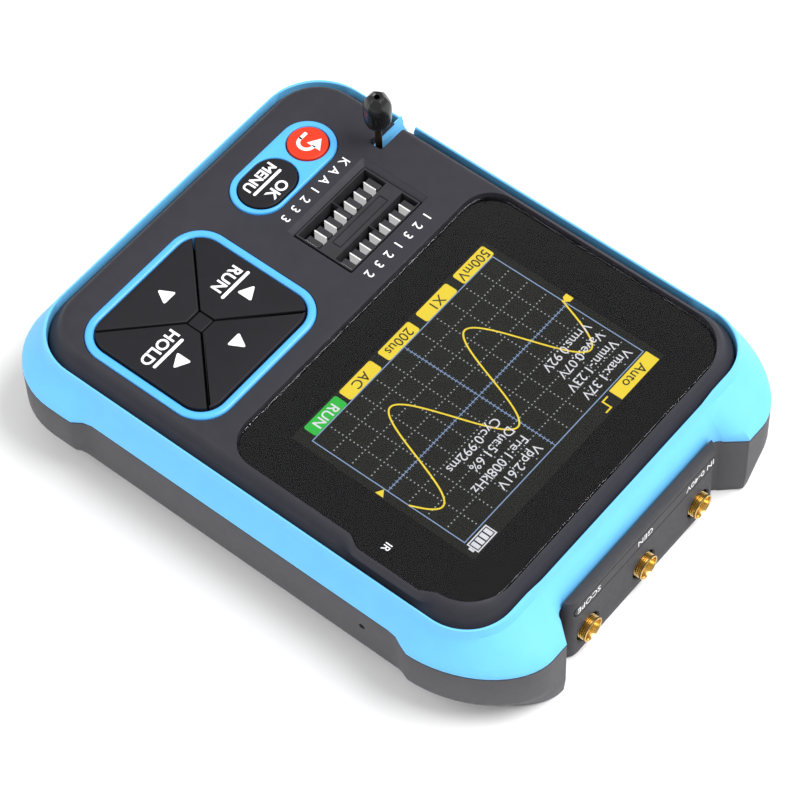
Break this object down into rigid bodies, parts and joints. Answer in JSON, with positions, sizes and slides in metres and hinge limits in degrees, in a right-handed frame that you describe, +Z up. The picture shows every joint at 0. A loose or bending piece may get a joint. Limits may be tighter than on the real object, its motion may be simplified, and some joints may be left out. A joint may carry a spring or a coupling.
{
  "type": "handheld oscilloscope",
  "caption": "Pocket oscilloscope with a colour display window, four-way keypad, lever-operated component socket and coaxial jacks at one end.",
  "frame": {"origin": "middle of the rectangle around the object seen from above, on the plane of its underside", "axes": "+Z up out of the display, +Y towards the connector end, +X to the reader's right"},
  "size_m": [0.0812, 0.106, 0.036],
  "materials": {
    "black_shell": "fine spark-eroded matte",
    "grey_shell": "fine matte",
    "blue_rubber": "satin elastomer",
    "window": "polished tinted acrylic",
    "key_black": "satin",
    "key_red": "satin",
    "socket_grey": "glass-filled matte",
    "gold": "gold plated",
    "steel": "plated",
    "white_plastic": "natural fluoropolymer",
    "board": "solder mask",
    "display_glass": "display stack",
    "foil": "foil wrap",
    "port_metal": "nickel plated"
  },
  "bodies": {
    "case": {"front_shell": "black_shell", "display_lens": "window", "bumper_frame": "blue_rubber", "rear_shell": "grey_shell", "connector_panel": "black_shell", "dpad_bezel": "blue_rubber", "key_bezel": "blue_rubber", "dpad_hub": "key_black", "lcd_panel": "display_glass", "lcd_backlight": "foil", "lcd_carrier": "black_shell", "front_board": "board", "main_board": "board", "board_connector": "key_black", "battery": "foil", "ir_receiver": "window", "reset_switch": "foil", "usb_c_shell": "port_metal", "usb_c_tongue": "key_black", "zif_base": "socket_grey", "zif_cover": "socket_grey", "tact_switch_up": "foil", "tact_switch_down": "foil", "tact_switch_left": "foil", "tact_switch_right": "foil", "tact_switch_ok_menu": "foil", "tact_switch_back": "foil", "jack_body_gen": "gold", "jack_insulator_gen": "white_plastic", "jack_pin_gen": "gold", "jack_body_mid": "gold", "jack_insulator_mid": "white_plastic", "jack_pin_mid": "gold", "jack_body_scope": "gold", "jack_insulator_scope": "white_plastic", "jack_pin_scope": "gold", "case_screw_1": "steel", "case_screw_2": "steel", "case_screw_3": "steel", "case_screw_4": "steel", "board_screw_1": "steel", "board_screw_2": "steel", "board_screw_3": "steel"},
    "key_up": {"key_up": "key_black", "tact_plunger_up": "key_black"},
    "key_down": {"key_down": "key_black", "tact_plunger_down": "key_black"},
    "key_left": {"key_left": "key_black", "tact_plunger_left": "key_black"},
    "key_right": {"key_right": "key_black", "tact_plunger_right": "key_black"},
    "ok_menu_key": {"ok_menu_key": "key_black", "tact_plunger_ok_menu": "key_black"},
    "back_key": {"back_key": "key_red", "tact_plunger_back": "key_black"},
    "zif_lever": {"zif_lever_rod": "steel", "zif_lever_knob": "key_black", "zif_cam": "white_plastic"},
    "zif_clamp": {"zif_slider": "white_plastic"}
  },
  "joints": [
    {"name": "zif_lever_hinge", "type": "hinge", "parent": "case", "child": "zif_lever", "pos_m": [-0.0291, -0.0204, 0.01885], "axis": [0, -1, 0], "range_deg": [0, 90]},
    {"name": "zif_clamp_slide", "type": "slide", "parent": "case", "child": "zif_clamp", "axis": [1, 0, 0], "range_m": [0, 0.0005]},
    {"name": "key_up_press", "type": "slide", "parent": "case", "child": "key_up", "axis": [0, 0, -1], "range_m": [0, 0.00035], "stiffness_N_per_m": 4000},
    {"name": "key_down_press", "type": "slide", "parent": "case", "child": "key_down", "axis": [0, 0, -1], "range_m": [0, 0.00035], "stiffness_N_per_m": 4000},
    {"name": "key_left_press", "type": "slide", "parent": "case", "child": "key_left", "axis": [0, 0, -1], "range_m": [0, 0.00035], "stiffness_N_per_m": 4000},
    {"name": "key_right_press", "type": "slide", "parent": "case", "child": "key_right", "axis": [0, 0, -1], "range_m": [0, 0.00035], "stiffness_N_per_m": 4000},
    {"name": "ok_menu_key_press", "type": "slide", "parent": "case", "child": "ok_menu_key", "axis": [0, 0, -1], "range_m": [0, 0.00035], "stiffness_N_per_m": 4000},
    {"name": "back_key_press", "type": "slide", "parent": "case", "child": "back_key", "axis": [0, 0, -1], "range_m": [0, 0.00035], "stiffness_N_per_m": 4000}
  ],
  "couplings": [
    {"joint": "zif_clamp_slide", "follows": "zif_lever_hinge", "m_per_rad": 0.000318}
  ]
}
